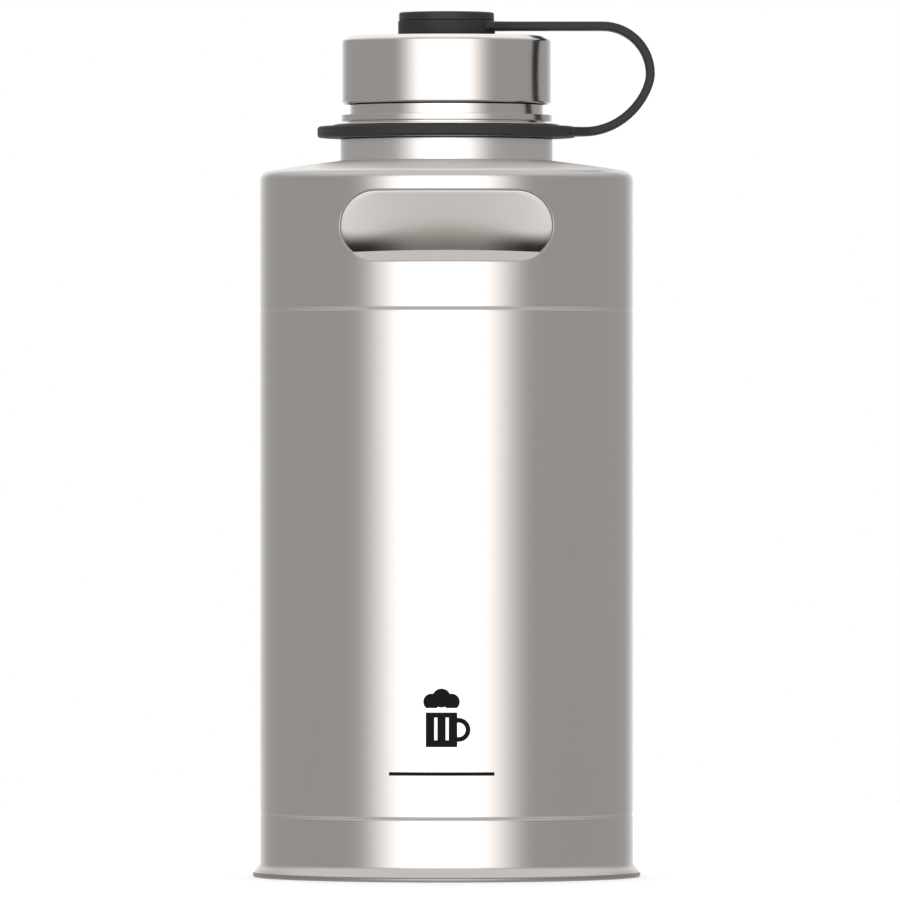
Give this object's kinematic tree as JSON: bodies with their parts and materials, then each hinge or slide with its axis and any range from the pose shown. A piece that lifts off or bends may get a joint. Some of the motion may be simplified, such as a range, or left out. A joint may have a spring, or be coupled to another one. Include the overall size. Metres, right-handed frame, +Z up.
{
  "type": "growler",
  "caption": "Insulated double-wall steel growler with a finger slot in its shoulder and a screw lid held by a silicone tether.",
  "frame": {"origin": "on the bottle's axis, in the plane that the foot ring stands on", "axes": "+Z up along the bottle's axis, -Y through the finger slot at the front, +X towards the tether's loop"},
  "size_m": [0.1294, 0.1248, 0.2783],
  "materials": {
    "satin_steel": "satin brushed stainless steel",
    "liner_steel": "electropolished stainless steel",
    "black_plastic": "moulded black polypropylene",
    "black_silicone": "matt black silicone",
    "gasket_silicone": "translucent white silicone",
    "white_foam": "closed-cell polyethylene foam",
    "getter_metal": "sintered getter alloy"
  },
  "bodies": {
    "vessel": {"foot_ring": "satin_steel", "base_plate": "satin_steel", "vacuum_seal_plug": "satin_steel", "seal_cover_disc": "satin_steel", "base_band": "satin_steel", "outer_body_shell": "satin_steel", "shoulder_shell": "satin_steel", "finger_pocket": "satin_steel", "inner_liner": "liner_steel", "liner_bottom": "liner_steel", "getter_tablet": "getter_metal", "getter_clip": "liner_steel", "neck_collar": "satin_steel"},
    "lid_seal": {"lid_gasket": "gasket_silicone"},
    "lid": {"lid_shell": "satin_steel", "lid_core": "black_plastic", "lid_foam_disc": "white_foam", "swivel_post": "black_plastic", "screw_washer": "liner_steel", "post_screw": "liner_steel"},
    "tether_ring": {"tether_neck_ring": "black_silicone", "strap_lower": "black_silicone"},
    "tether_eye": {"tether_eye": "black_silicone", "strap_upper": "black_silicone"}
  },
  "joints": [
    {"name": "lid_rise", "type": "slide", "parent": "vessel", "child": "lid_seal", "axis": [0, 0, 1], "range_m": [0, 0.012]},
    {"name": "lid_turn", "type": "hinge", "parent": "lid_seal", "child": "lid", "pos_m": [0, 0, 0.2488], "axis": [0, 0, 1], "range_deg": [0, 540]},
    {"name": "tether_swivel", "type": "hinge", "parent": "vessel", "child": "tether_ring", "pos_m": [0, 0, 0.2397], "axis": [0, 0, 1], "continuous": true},
    {"name": "tether_rise", "type": "slide", "parent": "tether_ring", "child": "tether_eye", "axis": [0, 0, 1], "range_m": [0, 0.012]}
  ],
  "couplings": [
    {"joint": "lid_rise", "follows": "lid_turn", "m_per_rad": 0.0012732},
    {"joint": "tether_rise", "follows": "lid_turn", "m_per_rad": 0.0012732}
  ]
}
